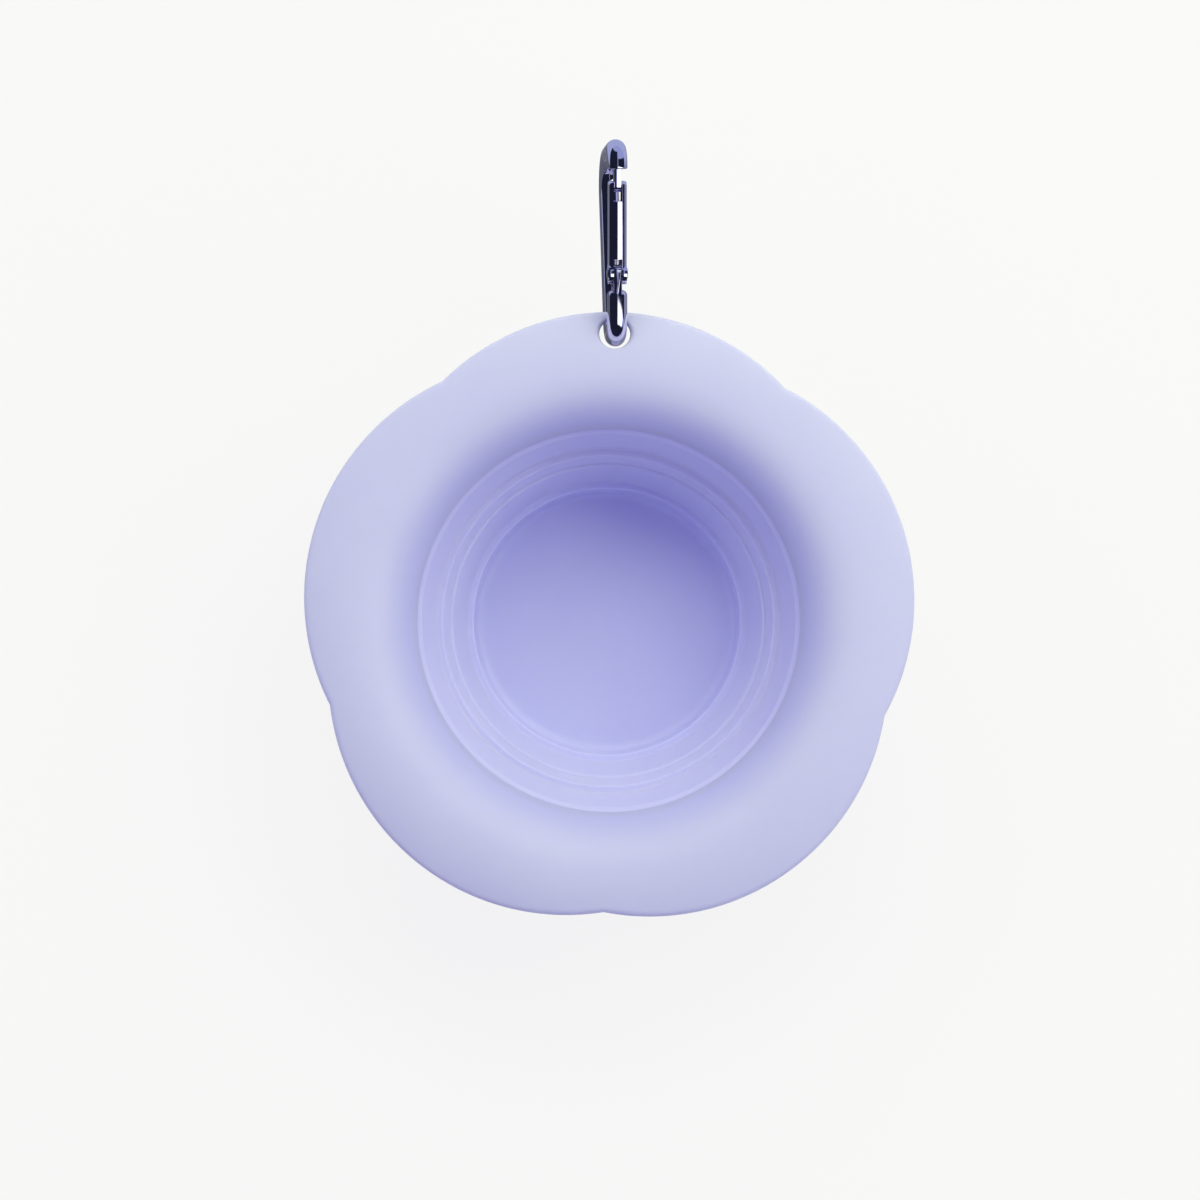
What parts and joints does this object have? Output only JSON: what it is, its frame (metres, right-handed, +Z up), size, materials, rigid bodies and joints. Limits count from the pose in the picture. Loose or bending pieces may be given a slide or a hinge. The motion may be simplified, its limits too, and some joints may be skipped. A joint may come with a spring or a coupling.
{
  "type": "collapsible silicone bowl",
  "caption": "Collapsible silicone bowl with a petal-shaped rim, a wall that folds flat in two steps, and a sprung snap hook through a hang hole in one petal.",
  "frame": {"origin": "centre of the foot ring, on the plane that the open bowl stands on", "axes": "+Z up along the bowl's axis, out of its mouth; +Y from the axis through the petal with the hang hole, along the snap hook; +X to the right when the mouth is seen from above with the hook at the top"},
  "size_m": [0.1498, 0.1897, 0.0598],
  "materials": {
    "silicone": "matt lavender silicone with a soft sheen",
    "silicone_thin": "the same silicone in its thin folding bands",
    "plated_zinc": "bright polished plating",
    "steel": "plain bright steel"
  },
  "bodies": {
    "base": {"base_cup": "silicone"},
    "ring": {"middle_ring": "silicone", "lower_fold": "silicone_thin"},
    "rim": {"flower_rim": "silicone", "upper_fold": "silicone_thin"},
    "hook": {"hook_frame": "plated_zinc"},
    "gate": {"hook_gate": "plated_zinc", "gate_rivet": "steel", "gate_spring": "steel"},
    "plunger": {"gate_plunger": "steel"}
  },
  "joints": [
    {"name": "lower_collapse", "type": "slide", "parent": "base", "child": "ring", "axis": [0, 0, 1], "range_m": [-0.0112, 0], "deforming": ["lower_fold"]},
    {"name": "upper_collapse", "type": "slide", "parent": "ring", "child": "rim", "axis": [0, 0, 1], "range_m": [-0.0175, 0], "deforming": ["upper_fold"]},
    {"name": "hook_swing", "type": "hinge", "parent": "rim", "child": "hook", "pos_m": [0, 0.07485, 0.04624], "axis": [0.9962, 0.0348, -0.0802], "range_deg": [-120, 90]},
    {"name": "gate_pivot", "type": "hinge", "parent": "hook", "child": "gate", "pos_m": [0.0002, 0.08458, 0.05297], "axis": [-0.9962, -0.0348, 0.0802], "range_deg": [0, 28], "stiffness_Nm_per_rad": 0.03, "springref_deg": -28.65},
    {"name": "plunger_slide", "type": "slide", "parent": "gate", "child": "plunger", "axis": [-0.0212, 0.9861, 0.1645], "range_m": [0, 0.0006], "deforming": ["gate_spring"]}
  ],
  "couplings": [
    {"joint": "plunger_slide", "follows": "gate_pivot", "m_per_rad": 0.0011}
  ]
}
